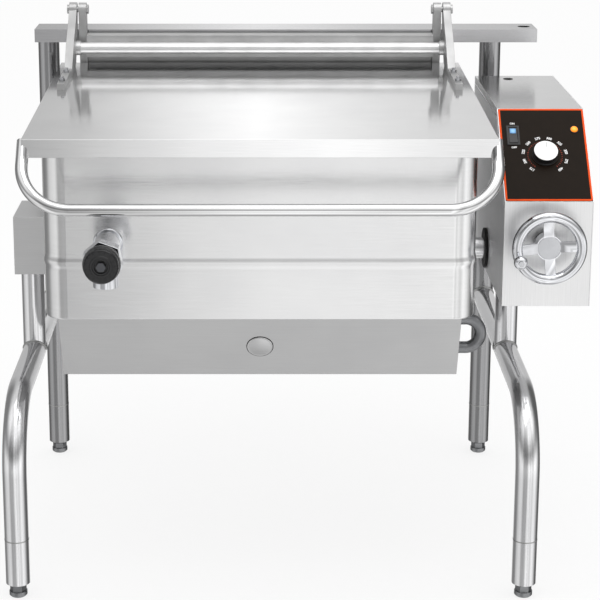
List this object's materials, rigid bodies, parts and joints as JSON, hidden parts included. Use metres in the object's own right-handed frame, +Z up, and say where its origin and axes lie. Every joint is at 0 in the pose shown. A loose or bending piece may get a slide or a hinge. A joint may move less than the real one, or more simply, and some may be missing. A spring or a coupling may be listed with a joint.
{
  "type": "tilting bratt pan",
  "caption": "Floor-standing tilting bratt pan: deep rectangular pan on trunnions in a tube frame, hinged lid with full-width handle, side console with tilt handwheel, draw-off valve.",
  "frame": {"origin": "on the floor under the middle of the overall box", "axes": "+X to the console side, which is on the right of a cook facing the pan; -Y towards the cook; +Z up"},
  "size_m": [1.23, 1.083, 1.1541],
  "materials": {
    "steel_tube": "brushed stainless tube",
    "steel_sheet": "satin stainless sheet",
    "steel_matt": "matt stainless sheet",
    "steel_machined": "machined stainless",
    "cast_iron": "painted casting",
    "bronze": "bearing bronze",
    "seal_rubber": "moulded rubber",
    "element_sheath": "oxidised sheath",
    "black_plate": "printed overlay",
    "white_plastic": "glossy",
    "dark_plastic": "moulded",
    "blue_lens": "lit lens",
    "amber_lens": "lit lens",
    "chrome": "polished"
  },
  "bodies": {
    "stand": {"side_arch_left": "steel_tube", "side_arch_right": "steel_tube", "rear_post_left": "steel_tube", "rear_post_right": "steel_tube", "upright_left": "steel_tube", "upright_right": "steel_tube", "cross_beam": "steel_sheet", "foot_inserts": "steel_machined", "foot_front_left": "steel_machined", "foot_front_right": "steel_machined", "foot_rear_left": "steel_machined", "foot_rear_right": "steel_machined", "bearing_block_left": "cast_iron", "bearing_block_right": "cast_iron", "bush_left": "bronze", "bush_right": "bronze", "trunnion_cover": "steel_sheet", "shaft_seal": "seal_rubber", "console_shell": "steel_sheet", "console_side_cover": "steel_sheet", "control_plate": "black_plate", "thermostat_body": "dark_plastic", "switch_housing": "dark_plastic", "heat_lamp": "amber_lens", "worm_bearings": "cast_iron"},
    "pan": {"trunnion_left": "steel_machined", "trunnion_right": "steel_machined", "pan_jacket": "steel_sheet", "pan_liner": "steel_sheet", "pan_floor": "steel_machined", "heating_elements": "element_sheath", "heater_housing": "steel_matt", "housing_base": "steel_matt", "housing_plug": "steel_sheet", "heater_conduit": "steel_tube", "conduit_fittings": "steel_machined", "hinge_channel": "steel_sheet", "hinge_bracket_left": "steel_machined", "hinge_bracket_right": "steel_machined", "hinge_pins": "steel_machined", "sector_gear": "cast_iron", "valve_body": "chrome", "valve_bonnet": "chrome"},
    "lid": {"lid_shell": "steel_sheet", "lid_handle": "steel_tube", "hinge_arm_left": "steel_machined", "hinge_arm_right": "steel_machined", "cross_tube": "steel_tube", "arm_bolts": "steel_machined"},
    "handwheel": {"worm": "bronze", "worm_shaft": "steel_machined", "wheel_rim": "chrome", "wheel_spokes": "chrome", "grip_pin": "chrome"},
    "grip": {"wheel_grip": "chrome"},
    "dial": {"thermostat_dial": "white_plastic"},
    "rocker": {"switch_rocker": "blue_lens"},
    "valve_stem": {"valve_stem": "steel_machined", "valve_nut": "chrome"},
    "valve_knob": {"valve_knob": "dark_plastic"}
  },
  "joints": [
    {"name": "pan_tilt", "type": "hinge", "parent": "stand", "child": "pan", "pos_m": [0, 0.04152, 0.652], "axis": [1, 0, 0], "range_deg": [0, 90]},
    {"name": "lid_hinge", "type": "hinge", "parent": "pan", "child": "lid", "pos_m": [0, 0.41452, 1.138], "axis": [-1, 0, 0], "range_deg": [0, 90]},
    {"name": "handwheel_turn", "type": "hinge", "parent": "stand", "child": "handwheel", "pos_m": [0.51838, -0.30948, 0.741], "axis": [0, 1, 0], "range_deg": [0, 5400]},
    {"name": "grip_spin", "type": "hinge", "parent": "handwheel", "child": "grip", "pos_m": [0.45636, -0.31948, 0.71843], "axis": [0, -1, 0], "continuous": true},
    {"name": "dial_turn", "type": "hinge", "parent": "stand", "child": "dial", "pos_m": [0.523, -0.16917, 0.90636], "axis": [0, 0.6774, -0.7356], "range_deg": [-135, 135]},
    {"name": "rocker_tip", "type": "hinge", "parent": "stand", "child": "rocker", "pos_m": [0.45996, -0.12823, 0.93863], "axis": [1, 0, 0], "range_deg": [-6, 6]},
    {"name": "valve_lift", "type": "slide", "parent": "pan", "child": "valve_stem", "axis": [0, -1, 0], "range_m": [0, 0.012]},
    {"name": "valve_turn", "type": "hinge", "parent": "valve_stem", "child": "valve_knob", "pos_m": [-0.382, -0.53848, 0.763], "axis": [0, -1, 0], "range_deg": [0, 1080]}
  ],
  "couplings": [
    {"joint": "handwheel_turn", "follows": "pan_tilt", "ratio": 60},
    {"joint": "valve_lift", "follows": "valve_turn", "m_per_rad": 0.000636}
  ]
}
